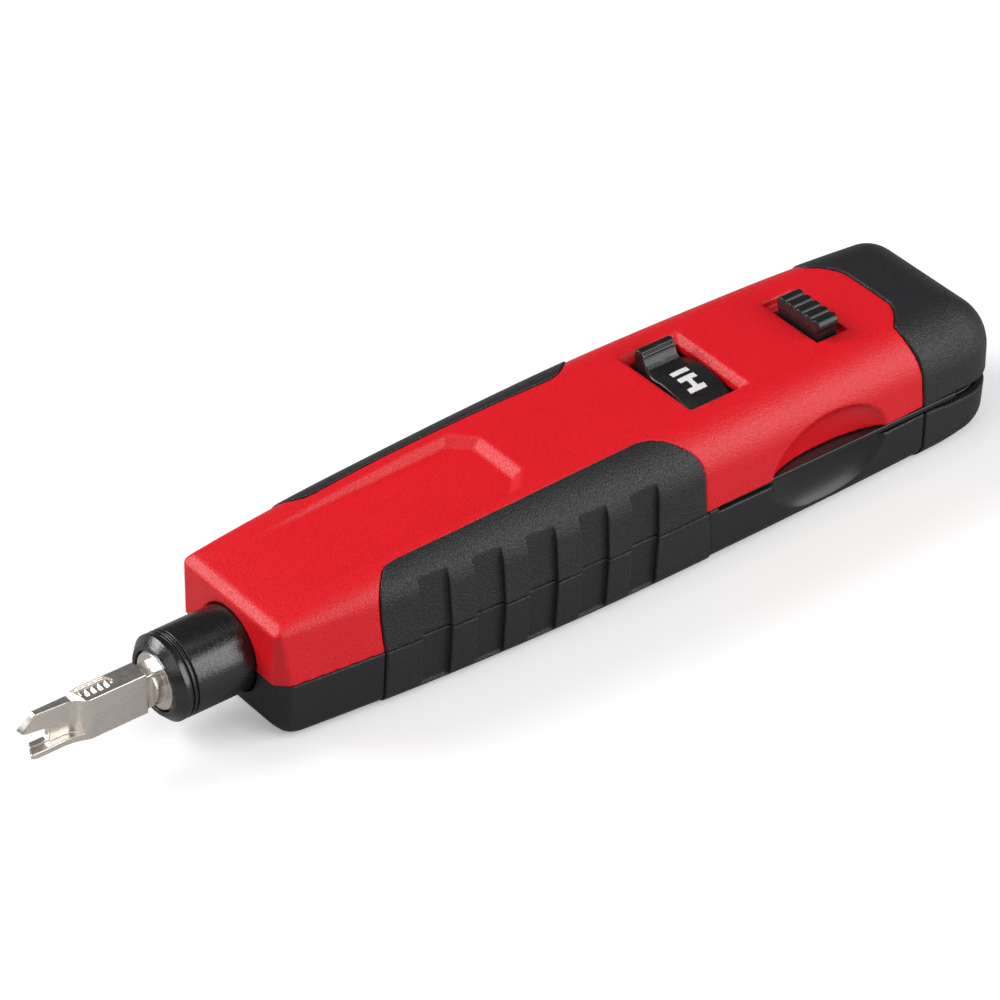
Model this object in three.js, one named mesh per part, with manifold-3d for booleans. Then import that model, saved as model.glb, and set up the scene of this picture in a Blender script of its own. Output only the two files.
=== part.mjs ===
// Impact punch down tool: a two-part moulded handle, a sprung plunger that drives an
// interchangeable blade, an impact selector dial, a lock slide and a fold-out pick.
//
// Units are millimetres, +Z up. +X runs along the plunger towards the rear of the handle,
// the blade tip is at -X, and the handle lies on its flat underside.
// Shapes are written in the handle's own frame, where x = 0 is the front face of the
// handle, y = 0 its middle plane and z = 0 the parting plane between the two shells.
// One group then puts the origin at the middle of the whole tool's underside.

import * as THREE from 'three';
import { mergeVertices } from 'three/addons/utils/BufferGeometryUtils.js';
import Module from 'manifold-3d';

const wasm = await Module();
wasm.setup();

// ---------------------------------------------------------------- driving dimensions

const BLADE_TIP_X = -36.4;
const REAR_X = 140.5;
const BOTTOM_Z = -10.5;
const AXIS_Z = 0.45; // plunger axis above the parting plane
const SHELL_GAP = 0.08; // visible parting line

const WALL = 2.6; // moulded shell wall
const SKIN = 1.35; // thickness of the rubber grips and cap
const PROUD = 0.35; // how far the rubber stands out of the shell
const FIT = 0.15; // gap between rubber and its recess
const CLEAR = 0.3; // running gap around moving pieces

const HALF_WIDTH_MAX = 17.4;
const HEIGHT_MAX = 13.65;
const BOTTOM_EDGE_R = 2.5;
const BOTTOM_DRAFT = 0.8; // the underside is this much narrower on each side
const REAR_PLAN_R = 7.8;
const REAR_TOP_R = 9;
const REAR_BOTTOM_R = 4;
const NOSE_BOTTOM_R = 4.5;

const GRIP_X0 = 18.2;
const GRIP_X1 = 78.6;
const GRIP_TOP_Y = 10.4;
const FLUTE_FIRST_X = 24.6;
const FLUTE_PITCH = 9.65;
const FLUTE_LENGTH = 5.1;
const FLUTE_COUNT = 5;
const FLUTE_TOP_Z = 10.6;
const FLUTE_FOOT_Z = -9.6;
const FLUTE_DEPTH = 0.7;

const CAP_TOP_X = 125.1;
const CAP_CORNER_X = 121.5;
const CAP_SIDE_X = 123;
const CAP_LOWER_X = 123.8;

const BARREL_R = 7;
const BARREL_FRONT_X = -13.5;
const BARREL_REAR_X = 24;
const HAMMER_X0 = 24.6;
const HAMMER_X1 = 46;
const HAMMER_R = 6.4;
const TUBE_X0 = 37.5;
const TUBE_X1 = 80;
const TUBE_R = 7.5;
const SEAT_X0 = 92.6;
const SEAT_X1 = 96.4;

const DIAL_X0 = 82.8;
const DIAL_X1 = 91.6;
const DIAL_R = 12.6;
const DIAL_TURN = 32;
const WINDOW_Y = 7.7;

const LATCH_TRAY_Z = 12.2;
const LATCH_Y0 = -6.4;
const LATCH_Y1 = 3.4;

const PICK_TOP_Z = 0.1;
const PICK_THICK = 0.8;
const PICK_PIVOT = new THREE.Vector2(126, -11);
const PICK_EDGE_Y = -16.6;
const PICK_TIP_X = 82;

const SCREWS = {
  screw_front_near: [10.5, -9.9],
  screw_front_far: [10.5, 9.9],
  screw_mid_near: [70, -9.9],
  screw_mid_far: [70, 9.9],
  screw_rear: [131.5, 4],
};
const SCREW_HEAD_R = 1.9;
const SCREW_SHANK_R = 0.95;
const BOSS_R = 2.2;

// ---------------------------------------------------------------- materials

function paint(colour, roughness, metalness) {
  return new THREE.MeshStandardMaterial({ color: colour, roughness, metalness });
}

const RED = paint(0xc41a20, 0.55, 0);
const CHARCOAL = paint(0x26262a, 0.6, 0);
const RUBBER = paint(0x2b2b2e, 0.8, 0);
const GLOSS_BLACK = paint(0x101012, 0.25, 0);
const BLACK_METAL = paint(0x151518, 0.35, 0.6);
const NICKEL = paint(0xc9c5bd, 0.3, 1);
const STEEL = paint(0x9a9a9e, 0.35, 1);
const ACETAL = paint(0xd9d8d0, 0.5, 0);

// ---------------------------------------------------------------- solids

// The signed volume of an indexed triangle list; negative when its faces point in.
function signedVolume(positions, index) {
  const a = new THREE.Vector3();
  const b = new THREE.Vector3();
  const c = new THREE.Vector3();
  let volume = 0;
  for (let i = 0; i < index.length; i += 3) {
    a.fromArray(positions, 3 * index[i]);
    b.fromArray(positions, 3 * index[i + 1]);
    c.fromArray(positions, 3 * index[i + 2]);
    volume += a.dot(b.cross(c)) / 6;
  }
  return volume;
}

// Turns a three.js geometry into a solid for joining and cutting.
function solid(geometry) {
  const bare = geometry.clone();
  bare.deleteAttribute('normal');
  bare.deleteAttribute('uv');
  const merged = mergeVertices(bare, 1e-4);
  const positions = Array.from(merged.attributes.position.array);
  const index = [];
  const source = merged.index.array;
  for (let i = 0; i < source.length; i += 3) {
    const [a, b, c] = [source[i], source[i + 1], source[i + 2]];
    if (a !== b && b !== c && c !== a) index.push(a, b, c);
  }
  if (signedVolume(positions, index) < 0) index.reverse();
  return new wasm.Manifold(new wasm.Mesh({
    numProp: 3,
    vertProperties: new Float32Array(positions),
    triVerts: new Uint32Array(index),
  }));
}

function geometryOf(manifold) {
  const mesh = manifold.getMesh();
  const geometry = new THREE.BufferGeometry();
  geometry.setAttribute('position', new THREE.BufferAttribute(mesh.vertProperties, 3));
  geometry.setIndex(new THREE.BufferAttribute(mesh.triVerts, 1));
  geometry.computeVertexNormals();
  return geometry;
}

// A closed skin over a row of sections; each section is the same number of [x, y, z].
function loft(sections) {
  const count = sections[0].length;
  const positions = sections.flat(2);
  const index = [];
  for (let s = 0; s + 1 < sections.length; s += 1) {
    for (let i = 0; i < count; i += 1) {
      const j = (i + 1) % count;
      const [a, b] = [s * count + i, s * count + j];
      index.push(a, b, b + count, a, b + count, a + count);
    }
  }
  const last = (sections.length - 1) * count;
  for (let i = 1; i + 1 < count; i += 1) {
    index.push(0, i + 1, i);
    index.push(last, last + i, last + i + 1);
  }
  const geometry = new THREE.BufferGeometry();
  geometry.setAttribute('position', new THREE.Float32BufferAttribute(positions, 3));
  geometry.setIndex(index);
  return solid(geometry);
}

function box(x0, x1, y0, y1, z0, z1) {
  const geometry = new THREE.BoxGeometry(x1 - x0, y1 - y0, z1 - z0);
  geometry.translate((x0 + x1) / 2, (y0 + y1) / 2, (z0 + z1) / 2);
  return solid(geometry);
}

// A shape drawn in plan, standing from z0 to z1.
function plate(outline, z0, z1) {
  const shape = new THREE.Shape(outline.map(([x, y]) => new THREE.Vector2(x, y)));
  const geometry = new THREE.ExtrudeGeometry(shape, { depth: z1 - z0, bevelEnabled: false });
  geometry.translate(0, 0, z0);
  return solid(geometry);
}

// A shape drawn from the side as [x, z], reaching from y0 to y1.
function sidePlate(outline, y0, y1) {
  const shape = new THREE.Shape(outline.map(([x, z]) => new THREE.Vector2(x, z)));
  const geometry = new THREE.ExtrudeGeometry(shape, { depth: y1 - y0, bevelEnabled: false });
  geometry.rotateX(Math.PI / 2);
  geometry.translate(0, y1, 0);
  return solid(geometry);
}

// A shape drawn from the front as [y, z], reaching from x0 to x1.
function frontPlate(outline, x0, x1) {
  const shape = new THREE.Shape(outline.map(([y, z]) => new THREE.Vector2(y, z)));
  const geometry = new THREE.ExtrudeGeometry(shape, { depth: x1 - x0, bevelEnabled: false });
  geometry.rotateX(Math.PI / 2);
  geometry.rotateZ(Math.PI / 2);
  geometry.translate(x0, 0, 0);
  return solid(geometry);
}

// A turned piece about the plunger axis; the profile is [x, radius].
function turned(profile, segments = 32) {
  const points = profile.map(([x, r]) => new THREE.Vector2(r, x));
  if (profile[0][1] > 0) points.push(points[0].clone());
  const geometry = new THREE.LatheGeometry(points, segments);
  geometry.rotateZ(-Math.PI / 2);
  geometry.translate(0, 0, AXIS_Z);
  return solid(geometry);
}

function rod(x0, x1, radius, segments = 32) {
  return turned([[x0, 0], [x0, radius], [x1, radius], [x1, 0]], segments);
}

function ring(x0, x1, inner, outer, segments = 32) {
  return turned([[x0, inner], [x1, inner], [x1, outer], [x0, outer]], segments);
}

// An upright cylinder at (x, y).
function post(x, y, radius, z0, z1, segments = 16) {
  const geometry = new THREE.CylinderGeometry(radius, radius, z1 - z0, segments);
  geometry.rotateX(Math.PI / 2);
  geometry.translate(x, y, (z0 + z1) / 2);
  return solid(geometry);
}

// A round wire following a path; used for springs.
function wire(points, radius, steps, sides) {
  const path = new THREE.CatmullRomCurve3(points);
  const section = new THREE.Shape();
  for (let i = 0; i < sides; i += 1) {
    const a = (2 * Math.PI * i) / sides;
    const corner = [radius * Math.cos(a), radius * Math.sin(a)];
    if (i === 0) section.moveTo(...corner);
    else section.lineTo(...corner);
  }
  return solid(new THREE.ExtrudeGeometry(section, { steps, extrudePath: path }));
}

// A helical spring along X about (y, z), with turns counted along its length.
function coilAlongX(x0, x1, y, z, radius, wireR, turns, perTurn) {
  const points = [];
  const count = turns * perTurn;
  for (let i = 0; i <= count; i += 1) {
    const a = (2 * Math.PI * i) / perTurn;
    const x = x0 + ((x1 - x0) * i) / count;
    points.push(new THREE.Vector3(x, y + radius * Math.cos(a), z + radius * Math.sin(a)));
  }
  return wire(points, wireR, count, 5);
}

// ---------------------------------------------------------------- handle outline

function halfWidth(x) {
  const fall = x < 70 ? 0.00089 : 0.00032;
  return HALF_WIDTH_MAX - fall * (x - 70) ** 2;
}

function topHeight(x) {
  if (x < 60) return HEIGHT_MAX - 0.00098 * (60 - x) ** 2;
  if (x < 110) return HEIGHT_MAX;
  return HEIGHT_MAX - 0.0011 * (x - 110) ** 2;
}

function topEdgeRadius(x) {
  const rise = Math.min(1, Math.max(0, (x - 2) / 62));
  const rear = Math.max(0, x - 64);
  return 1.7 + 5.4 * Math.sin((Math.PI / 2) * rise) + 0.0003 * rear ** 2;
}

// Distance a rounded end falls away at a depth inside its corner radius.
function endRound(past, radius) {
  const reach = Math.min(radius, Math.max(0, past));
  return radius - Math.sqrt(radius ** 2 - reach ** 2);
}

const NOSE = [
  { x: 0, half: 11.8, top: 9.1, edge: 1.0, lean: 0.35 },
  { x: 1.4, half: 12.6, top: 10.3, edge: 1.6, lean: 0.35 },
  { x: 2.9, half: 13.4, top: 10.45, edge: 1.75, lean: 0 },
];

// Stations along the handle: where the section changes, with its sizes.
function stations() {
  const list = NOSE.map((s) => ({ ...s }));
  for (const x of [9, 16, 25, 36, 48, 62, 80, 104, 120, 131.5]) {
    list.push({ x, half: halfWidth(x), top: topHeight(x), edge: topEdgeRadius(x), lean: 0 });
  }
  const steps = 5;
  for (let i = 1; i <= steps; i += 1) {
    const x = 131.5 + REAR_TOP_R * Math.sin((i / steps) * (Math.PI / 2));
    const half = halfWidth(x) - endRound(x - (REAR_X - REAR_PLAN_R), REAR_PLAN_R);
    const top = topHeight(131.5) - endRound(x - 131.5, REAR_TOP_R);
    list.push({ x, half, top, edge: Math.min(topEdgeRadius(x), top - 0.6, half - 1), lean: 0 });
  }
  return list;
}

const ARC_STEPS = 4;

// Upper half section, shrunk by inset; point 0 is on the parting plane at +y.
function upperSection(s, inset) {
  const half = s.half - inset;
  const top = s.top - inset;
  const edge = Math.max(0.5, s.edge - inset);
  const x = s.x + (s.nose ? inset : 0) - (s.tail ? inset : 0);
  const side = [];
  for (let i = 0; i <= ARC_STEPS; i += 1) {
    const a = (i / ARC_STEPS) * (Math.PI / 2);
    side.push([half - edge + edge * Math.cos(a), top - edge + edge * Math.sin(a)]);
  }
  const foot = -0.5 - inset / 10;
  const mirrored = side.map(([y, z]) => [-y, z]).reverse();
  const points = [[half, foot], ...side, ...mirrored, [-half, foot]];
  return points.map(([y, z]) => [x + (s.lean * Math.max(0, z)) / 10, y, z]);
}

// Lower half section; the underside is flat and slightly narrower.
function lowerSection(s, inset) {
  const bottom = s.bottom + inset;
  const half = s.half - inset;
  const foot = half - BOTTOM_DRAFT;
  const edge = Math.max(0.5, Math.min(BOTTOM_EDGE_R, -s.bottom - 1) - inset / 2);
  const x = s.x + (s.nose ? inset : 0) - (s.tail ? inset : 0);
  const side = [];
  for (let i = 0; i <= ARC_STEPS; i += 1) {
    const a = (i / ARC_STEPS) * (Math.PI / 2);
    side.push([foot - edge + edge * Math.cos(a), bottom + edge - edge * Math.sin(a)]);
  }
  const rim = 0.5 + inset / 10;
  const mirrored = side.map(([y, z]) => [-y, z]).reverse();
  const points = [[half, rim], ...side, ...mirrored, [-half, rim]];
  return points.map(([y, z]) => [x, y, z]);
}

function clipped(list, inset) {
  const first = list[0].x + inset;
  const last = list[list.length - 1].x - inset;
  const inner = list.filter((s) => s.x > first + 0.4 && s.x < last - 0.4);
  const nose = { ...list[0], nose: true };
  const tail = { ...list[list.length - 1], tail: true };
  return [nose, ...inner, tail];
}

function upperBody(inset) {
  const list = clipped(stations(), inset);
  return loft(list.map((s) => upperSection(s, inset)));
}

function lowerBody(inset) {
  const list = stations().map((s) => {
    const nose = endRound(NOSE_BOTTOM_R - s.x, NOSE_BOTTOM_R);
    const tail = endRound(s.x - (REAR_X - REAR_BOTTOM_R), REAR_BOTTOM_R);
    return { ...s, bottom: BOTTOM_Z + nose + tail, lean: 0 };
  });
  return loft(clipped(list, inset).map((s) => lowerSection(s, inset)));
}

const FAR = 60;
const ABOVE = box(-5, 150, -FAR, FAR, SHELL_GAP, FAR);
const BELOW = box(-5, 150, -FAR, FAR, -FAR, 0);

// ---------------------------------------------------------------- rubber regions

// Moves a closed plan outline outwards by a distance, keeping its edges parallel.
function grown(outline, distance) {
  const points = outline.map(([x, y]) => new THREE.Vector2(x, y));
  const turn = THREE.ShapeUtils.isClockWise(points) ? -1 : 1;
  const normal = (from, to) => {
    const along = to.clone().sub(from).normalize();
    return new THREE.Vector2(along.y, -along.x).multiplyScalar(turn);
  };
  return points.map((point, i) => {
    const before = points[(i + points.length - 1) % points.length];
    const after = points[(i + 1) % points.length];
    const n1 = normal(before, point);
    const n2 = normal(point, after);
    const shift = n1.clone().add(n2).multiplyScalar(distance / (1 + n1.dot(n2)));
    return [point.x + shift.x, point.y + shift.y];
  });
}

// The grip's edge in plan: slanted front edge, rounded rear corner.
function gripOutline(side) {
  const points = [[17.9, 14], [19, 12.7], [21.2, GRIP_TOP_Y + 0.2], [68.6, GRIP_TOP_Y + 0.2]];
  const steps = 4;
  for (let i = 1; i <= steps; i += 1) {
    const a = (i / (steps + 1)) * (Math.PI / 2);
    points.push([68.6 + 9.6 * Math.sin(a), GRIP_TOP_Y + 0.2 + 6.4 * (1 - Math.cos(a))]);
  }
  points.push([GRIP_X1, 17], [GRIP_X1, 22], [17.9, 22]);
  return points.map(([x, y]) => [x, side * y]);
}

function gripRegion(side, grow) {
  const upper = plate(grown(gripOutline(side), grow), 0, 20);
  const near = side * 12.6;
  const plan = [[GRIP_X0, near], [GRIP_X1, near], [GRIP_X1, side * 22], [GRIP_X0, side * 22]];
  return upper.add(plate(grown(plan, grow), -20, 0));
}

function capRegion(grow) {
  const corner = [
    [CAP_TOP_X, -5.5], [CAP_TOP_X - 2.1, -9.1], [CAP_CORNER_X, -10.6], [CAP_CORNER_X, -12.2],
    [CAP_SIDE_X - 0.4, -16.2], [CAP_SIDE_X, -18], [CAP_SIDE_X, -25], [150, -25],
  ];
  const plan = [...corner, ...corner.map(([x, y]) => [x, -y]).reverse()];
  const upper = plate(grown(plan, grow), 0, 20);
  return upper.add(box(CAP_LOWER_X - grow, 150, -25, 25, -20, 0));
}

function flutes(side) {
  const cuts = [];
  for (let i = 0; i < FLUTE_COUNT; i += 1) {
    const x = FLUTE_FIRST_X + i * FLUTE_PITCH;
    const [y0, y1] = side > 0 ? [12, 25] : [-25, -12];
    cuts.push(box(x, x + FLUTE_LENGTH, y0, y1, FLUTE_FOOT_Z, FLUTE_TOP_Z));
  }
  return cuts.reduce((sum, cut) => sum.add(cut));
}

// ---------------------------------------------------------------- cuts in the handle

// Shallow thumb recess in the top, deepest at its rear and fading out forwards.
function topRecess() {
  const floor = (x) => 11 + (1.1 * (x - 8)) / 41.6;
  const rim = (spread) => {
    const plan = [[5, 7.7 + spread], [46.9, 7.7 + spread], [49.6 + spread * 1.2, 4.9 + spread * 0.4]];
    const mirrored = plan.map(([x, y]) => [x, -y]).reverse();
    return [...plan, ...mirrored].map(([x, y]) => [x, y, floor(x) + spread]);
  };
  return loft([rim(0), rim(3.4)]);
}

// Window for the selector dial, with a wide bevel round it.
function dialWindow() {
  const opening = box(DIAL_X0 - CLEAR, DIAL_X1 + 0.4, -WINDOW_Y, WINDOW_Y, 8, 20);
  const bevel = (z, grow) => [
    [82.3 - grow * 0.35, -WINDOW_Y - grow, z], [92.2 + grow * 0.65, -WINDOW_Y - grow, z],
    [92.2 + grow * 0.65, WINDOW_Y + grow, z], [82.3 - grow * 0.35, WINDOW_Y + grow, z],
  ];
  return opening.add(loft([bevel(12.4, 0.1), bevel(14, 2.1)]));
}

// Slot for the lock slide: a shallow tray the thumb piece runs in, and a slit for its neck.
function latchWindow() {
  return box(108.7, 115, -6.75, 6.75, LATCH_TRAY_Z, 20).add(box(109.9, 113.3, -5.4, 5.4, 8, 20));
}

// Slit that the pick folds into, along the near side and round the rear corner.
function pickSlit() {
  const side = sidePlate([
    [80.5, PICK_TOP_Z + CLEAR], [80.5, -1], [124, -1.5], [129, -2.3], [150, -2.3],
    [150, PICK_TOP_Z + CLEAR],
  ], -25, -8.8);
  const rear = box(117, 150, -25, -4.6, PICK_TOP_Z - PICK_THICK - CLEAR, PICK_TOP_Z + CLEAR);
  return side.add(rear);
}

// Oval thumb scoop that exposes the edge of the folded pick.
function thumbScoop(grow) {
  const geometry = new THREE.SphereGeometry(1, 20, 12);
  geometry.scale(12.6 + grow, 3.7 + grow, 9.3 + grow);
  geometry.translate(103.6, -18, -0.7);
  return solid(geometry);
}

// ---------------------------------------------------------------- shells

const BULKHEADS = [
  { x0: 6.6, x1: 7.9, hole: BARREL_R + 0.35 },
  { x0: 14.1, x1: 15.4, hole: BARREL_R + 0.35 },
  { x0: 39, x1: 40.4, hole: TUBE_R + FIT },
  { x0: 76.6, x1: 78, hole: TUBE_R + FIT },
  { x0: 99, x1: 100.6, hole: 0 },
];

// Walls inside both shells that carry the turned pieces.
function bulkheads() {
  const walls = BULKHEADS.map(({ x0, x1, hole }) => {
    const wall = box(x0, x1, -20, 20, -20, 20);
    return hole > 0 ? wall.subtract(rod(x0 - 1, x1 + 1, hole)) : wall;
  });
  return walls.reduce((sum, wall) => sum.add(wall));
}

function bosses(holeR, z0, z1) {
  const all = Object.values(SCREWS).map(([x, y]) => ({
    body: post(x, y, BOSS_R, -20, 20),
    hole: post(x, y, holeR, z0, z1),
  }));
  return {
    body: all.map((b) => b.body).reduce((sum, b) => sum.add(b)),
    hole: all.map((b) => b.hole).reduce((sum, b) => sum.add(b)),
  };
}

function rubberRecess() {
  return gripRegion(1, FIT).add(gripRegion(-1, FIT)).add(capRegion(FIT));
}

function pinBoss(z0, z1) {
  return post(PICK_PIVOT.x, PICK_PIVOT.y, 3.2, z0, z1);
}

function upperShell() {
  const outer = upperBody(0);
  const screws = bosses(1.0, -1, 7);
  const inside = bulkheads().add(screws.body).add(pinBoss(PICK_TOP_Z + CLEAR, 20));
  const scoopBack = thumbScoop(1.4);
  const cavity = upperBody(WALL).subtract(inside.add(scoopBack));
  let shell = outer.subtract(cavity);
  const rubber = rubberRecess().subtract(upperBody(SKIN + FIT));
  const cuts = [
    rubber, topRecess(), dialWindow(), latchWindow(), pickSlit(), thumbScoop(0), screws.hole,
    rod(-2, 7, BARREL_R + 0.35), rod(7.9, 14.1, 8.6 + FIT),
    post(PICK_PIVOT.x, PICK_PIVOT.y, 1.55, -1, 8),
  ];
  for (const cut of cuts) shell = shell.subtract(cut);
  return keepLargest(shell.intersect(ABOVE));
}

function lowerShell() {
  const outer = lowerBody(0);
  const screws = bosses(1.2, -20, 1);
  const heads = Object.values(SCREWS)
    .map(([x, y]) => post(x, y, SCREW_HEAD_R + 0.3, -20, -5))
    .reduce((sum, head) => sum.add(head));
  const bossWalls = Object.values(SCREWS)
    .map(([x, y]) => post(x, y, SCREW_HEAD_R + 1.1, -20, -4))
    .reduce((sum, wall) => sum.add(wall));
  const inside = bulkheads().add(screws.body).add(bossWalls).add(pinBoss(-20, -2.3));
  const scoopBack = thumbScoop(1.4);
  const cavity = lowerBody(WALL).subtract(inside.add(scoopBack));
  let shell = outer.subtract(cavity);
  const rubber = rubberRecess().subtract(lowerBody(SKIN + FIT));
  const cuts = [
    rubber, pickSlit(), thumbScoop(0), screws.hole, heads,
    rod(-2, 7, BARREL_R + 0.35), rod(7.9, 14.1, 8.6 + FIT),
    post(PICK_PIVOT.x, PICK_PIVOT.y, 1.55, -8, 1),
  ];
  for (const cut of cuts) shell = shell.subtract(cut);
  return keepLargest(shell.intersect(BELOW));
}

// The largest of a solid's separate bodies.
function keepLargest(manifold) {
  const pieces = manifold.decompose();
  return pieces.reduce((best, piece) => (piece.volume() > best.volume() ? piece : best));
}

function upperRubber(region) {
  const skin = upperBody(-PROUD).subtract(upperBody(SKIN));
  return keepLargest(skin.intersect(region).intersect(ABOVE).subtract(pickSlit()));
}

function lowerRubber(region) {
  const skin = lowerBody(-PROUD).subtract(lowerBody(SKIN));
  const resting = box(-5, 150, -FAR, FAR, BOTTOM_Z, 0);
  return keepLargest(skin.intersect(region).intersect(resting).subtract(pickSlit()));
}

function fluted(body, side) {
  const deep = upperBody(FLUTE_DEPTH - PROUD).add(lowerBody(FLUTE_DEPTH - PROUD));
  return keepLargest(body.subtract(flutes(side).subtract(deep)));
}

// ---------------------------------------------------------------- plunger and blade

function plungerSleeve() {
  return turned([
    [BARREL_FRONT_X, 5], [BARREL_FRONT_X, 5.7], [-12.2, BARREL_R], [-11.3, BARREL_R],
    [-11.2, BARREL_R - 0.35], [-10.9, BARREL_R - 0.35], [-10.8, BARREL_R], [-10.5, BARREL_R],
    [-10.4, BARREL_R - 0.35], [-10.1, BARREL_R - 0.35], [-10, BARREL_R], [BARREL_REAR_X - 1, BARREL_R],
    [BARREL_REAR_X, BARREL_R - 1], [BARREL_REAR_X, 3], [3, 3], [3, 5.3], [-12.5, 5.3], [-12.5, 5],
  ], 36);
}

// Steel insert that fills the mouth of the sleeve; the blade's shank passes through it.
function bladeSocket() {
  return turned([
    [-13.1, 3.3], [-13.1, 4.7], [-12.9, 4.85], [-12.2, 4.85], [-12.2, 5.2], [-3, 5.2], [-3, 3.3],
  ]);
}

// Bayonet ring behind the socket; it turns a quarter with the blade.
function bladeRetainer() {
  const body = ring(-2.6, 2.4, 3.3, 5.1);
  const notch = box(-3, -1, -1, 1, -8, 8);
  return body.subtract(notch);
}

function blade() {
  const z = (v) => AXIS_Z + v;
  const outline = [
    [-15.9, z(-3.55)], [-34.6, z(-3.55)], [-35.4, z(-3.3)], [-35.9, z(-2.9)], [-35.9, z(-2.5)],
    [-35.5, z(-2.2)], [-32.6, z(-2.2)], [-31.9, z(-1.9)], [-31.7, z(-1.2)], [-31.9, z(-0.5)],
    [-32.5, z(0.1)], [-33.5, z(0.4)], [-36.2, z(0.8)], [BLADE_TIP_X, z(1)], [-33.6, z(3.1)],
    [-27.55, z(3.1)], [-26.45, z(3.72)], [-15.9, z(3.65)],
  ];
  let body = sidePlate(outline, -1.9, 1.9);
  // The tip is ground thin from the near side, down to a rail along its lower edge.
  const wall = plate([[-38, -3], [-25.8, -3], [-27.7, 0.3], [-33.7, 0.75], [-38, 0.75]], 0, 5);
  body = body.subtract(wall.translate([0, 0, z(-2.15)]));
  const rail = plate([[-38, -3], [-23.2, -3], [-28.6, -0.9], [-38, -0.9]], -5, 5);
  body = body.subtract(rail);
  // Thumb pocket with cross ribs in the narrow top face.
  for (let i = 0; i < 4; i += 1) {
    const x = -25.9 + i * 1.5;
    body = body.subtract(box(x, x + 0.8, -1.2, 1.2, z(3.1), z(5)));
  }
  const neck = box(-16, -13.4, -1.75, 1.75, z(-3), z(3));
  const shank = rod(-15.5, 1.6, 3);
  return body.add(neck).add(shank);
}

function plungerStem() {
  return turned([
    [3.2, 0], [3.2, 2.7], [24, 2.7], [24, 2.5], [28.6, 2.5], [29, 2.1], [29, 0],
  ], 24);
}

function hammer() {
  const body = turned([
    [HAMMER_X0, 2.8], [HAMMER_X0, HAMMER_R - 0.8], [HAMMER_X0 + 0.8, HAMMER_R],
    [HAMMER_X1 - 5, HAMMER_R], [HAMMER_X1 - 5, 3.4], [HAMMER_X1, 3.4], [HAMMER_X1, 2.8],
  ]);
  return body.subtract(crossRod(31.4, 1.55, 9));
}

function crossRod(x, radius, half) {
  const geometry = new THREE.CylinderGeometry(radius, radius, 2 * half, 24);
  geometry.translate(x, 0, AXIS_Z);
  return solid(geometry);
}

function tripPin() {
  return crossRod(31.4, 1.4, 5.8);
}

function guideBush() {
  return ring(8.1, 13.9, BARREL_R + 0.15, 8.6);
}

function guideTube() {
  return ring(TUBE_X0, TUBE_X1, HAMMER_R + 0.3, TUBE_R);
}

function mainSpring() {
  return coilAlongX(HAMMER_X1 - 3.9, SEAT_X0 - 1.1, 0, AXIS_Z, 4.7, 0.8, 10, 10);
}

function springSeat() {
  return turned([
    [SEAT_X0, 0], [SEAT_X0, 6.6], [SEAT_X1, 6.6], [SEAT_X1, 3], [SEAT_X1 - 1, 3],
    [SEAT_X1 - 1, 0],
  ]);
}

// ---------------------------------------------------------------- selector dial

// A sector about the plunger axis, angles in degrees from straight up towards +y.
function sector(x0, x1, r0, r1, from, to, steps) {
  const arc = (r, a) => [r * Math.sin(a), AXIS_Z + r * Math.cos(a)];
  const outline = [];
  for (let i = 0; i <= steps; i += 1) {
    outline.push(arc(r1, THREE.MathUtils.degToRad(from + ((to - from) * i) / steps)));
  }
  for (let i = steps; i >= 0; i -= 1) {
    outline.push(arc(r0, THREE.MathUtils.degToRad(from + ((to - from) * i) / steps)));
  }
  return frontPlate(outline, x0, x1);
}

function impactDial() {
  const hub = ring(DIAL_X0, DIAL_X1, 6.5, 7.5);
  const rim = sector(DIAL_X0, DIAL_X1, 7, DIAL_R, -42, 74, 16);
  const hollow = sector(DIAL_X0 + 1.6, DIAL_X1 + 1, 9.4, DIAL_R - 1.4, -38, 70, 12);
  const tab = frontPlate([[0.9, 12.4], [5.0, 15.9], [5.9, 16], [6.3, 15.6], [6, 11]], DIAL_X0, 89.6);
  let dial = hub.add(rim.subtract(hollow)).add(tab);
  // One notch for each setting, where the leaf spring's crest rests.
  for (const turn of [180, 180 + DIAL_TURN]) {
    dial = dial.subtract(sector(86, 88.2, 7.25, 8, turn - 8, turn + 8, 3));
  }
  return dial;
}

// Leaf spring under the dial that clicks into its notches.
function dialDetentSpring() {
  return sidePlate([
    [79, -7.85], [95, -7.85], [95, -7.55], [88.4, -7.55], [87.1, -7.22], [85.8, -7.55],
    [79, -7.55],
  ], -1.8, 1.8);
}

// ---------------------------------------------------------------- lock slide and pick

function latchSlide() {
  const base = box(104.5, 119.5, -9.4, 6, 9.5, 10.7);
  const neck = box(110.2, 113, LATCH_Y0 + 1.3, LATCH_Y1 - 1.3, 10.2, 13.2);
  const thumb = box(109, 113.5, LATCH_Y0, LATCH_Y1, LATCH_TRAY_Z + CLEAR, 16);
  let slide = base.add(neck).add(thumb);
  for (let i = 0; i < 5; i += 1) {
    const y = LATCH_Y0 + 0.35 + i * 2.05;
    slide = slide.add(box(109, 113.5, y, y + 1.05, 15.6, 16.5));
  }
  const arm = box(117.2, 119.5, -9.4, -7.6, 1, 10);
  const springLug = box(105.5, 108.5, 5, 6.3, 7.4, 10);
  return slide.add(arm).add(springLug);
}

// Small return spring between the lock slide and the far wall.
function latchSpring() {
  const points = [];
  const [turns, perTurn] = [5, 8];
  for (let i = 0; i <= turns * perTurn; i += 1) {
    const a = (2 * Math.PI * i) / perTurn;
    const y = 7 + (5.6 * i) / (turns * perTurn);
    points.push(new THREE.Vector3(107 + 1.1 * Math.cos(a), y, 8.6 + 1.1 * Math.sin(a)));
  }
  return wire(points, 0.25, turns * perTurn, 4);
}

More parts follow.
